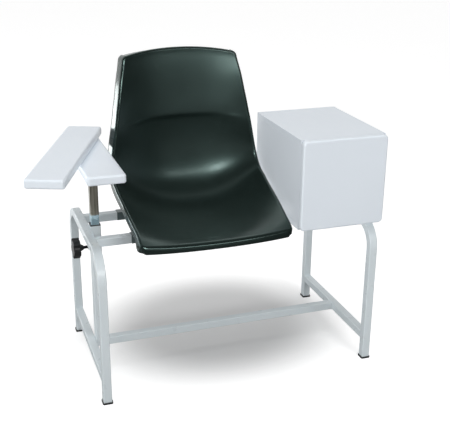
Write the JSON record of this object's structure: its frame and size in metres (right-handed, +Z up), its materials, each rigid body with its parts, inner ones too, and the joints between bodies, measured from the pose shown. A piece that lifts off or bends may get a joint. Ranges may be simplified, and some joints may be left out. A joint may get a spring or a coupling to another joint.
{
  "type": "phlebotomy chair",
  "caption": "Blood-draw chair: moulded seat on a bent-tube frame, swinging height-set arm rest on a clamped post, and a storage box with one deep drawer",
  "frame": {"origin": "on the floor, under the middle of the chair's box at rest", "axes": "+X from the arm rest towards the storage box, +Y from the seat's front to its back, +Z up"},
  "size_m": [1.0758, 0.566, 0.9754],
  "materials": {
    "frame_paint": "satin powder coat",
    "black_plastic": "matte",
    "seat_plastic": "fine texture",
    "white_laminate": "satin laminate on board",
    "drawer_board": "satin",
    "chrome": "polished",
    "zinc": "zinc plated",
    "brass": "plain",
    "rubber": "matte",
    "nylon": "matte",
    "black_steel": "black oxide"
  },
  "bodies": {
    "frame": {"left_side_frame": "frame_paint", "right_side_frame": "frame_paint", "left_lower_rail": "frame_paint", "right_lower_rail": "frame_paint", "stretcher": "frame_paint", "front_cross_rail": "frame_paint", "rear_cross_rail": "frame_paint", "front_left_glide": "black_plastic", "front_right_glide": "black_plastic", "rear_left_glide": "black_plastic", "rear_right_glide": "black_plastic", "arm_socket_tube": "frame_paint", "socket_bush": "black_plastic", "socket_weld_nut": "zinc", "front_seat_saddle": "black_plastic", "rear_seat_saddle": "black_plastic", "seat_washers": "zinc", "seat_screws": "zinc", "seat_shell": "seat_plastic", "seat_standoffs": "seat_plastic", "cabinet_top": "white_laminate", "cabinet_bottom": "white_laminate", "cabinet_fixing_screws": "zinc", "cabinet_left_side": "white_laminate", "cabinet_right_side": "white_laminate", "cabinet_back": "white_laminate", "left_cabinet_slide": "zinc", "right_cabinet_slide": "zinc", "cabinet_slide_screws": "zinc"},
    "knob": {"clamp_knob": "black_plastic", "clamp_stud": "black_steel"},
    "arm": {"arm_post": "chrome", "arm_post_plug": "black_plastic", "arm_mount_plate": "zinc", "arm_plate_screws": "zinc", "lower_arm_board": "white_laminate", "pivot_washer": "nylon", "arm_pivot_bolt": "zinc"},
    "upper_arm": {"upper_arm_board": "white_laminate", "pivot_insert": "brass"},
    "middle_slides": {"left_middle_slide": "zinc", "right_middle_slide": "zinc"},
    "drawer": {"drawer_front": "white_laminate", "drawer_box_front": "drawer_board", "drawer_front_screws": "zinc", "drawer_box_back": "drawer_board", "drawer_box_bottom": "drawer_board", "drawer_box_left": "drawer_board", "drawer_box_right": "drawer_board", "drawer_bumpers": "rubber", "left_drawer_slide": "zinc", "right_drawer_slide": "zinc", "drawer_slide_screws": "zinc"}
  },
  "joints": [
    {"name": "arm_height", "type": "slide", "parent": "frame", "child": "arm", "axis": [0, 0, 1], "range_m": [-0.12, 0.08]},
    {"name": "arm_swing", "type": "hinge", "parent": "arm", "child": "upper_arm", "pos_m": [-0.31338, 0.18974, 0.7071], "axis": [0, 0, 1], "range_deg": [-68.8, 21.2]},
    {"name": "knob_turn", "type": "hinge", "parent": "frame", "child": "knob", "pos_m": [-0.3627, 0.03274, 0.407], "axis": [1, 0, 0], "continuous": true},
    {"name": "drawer_slide", "type": "slide", "parent": "frame", "child": "drawer", "axis": [0, -1, 0], "range_m": [0, 0.3]},
    {"name": "middle_slide", "type": "slide", "parent": "frame", "child": "middle_slides", "axis": [0, -1, 0], "range_m": [0, 0.15]}
  ],
  "couplings": [
    {"joint": "middle_slide", "follows": "drawer_slide", "ratio": 0.5}
  ]
}
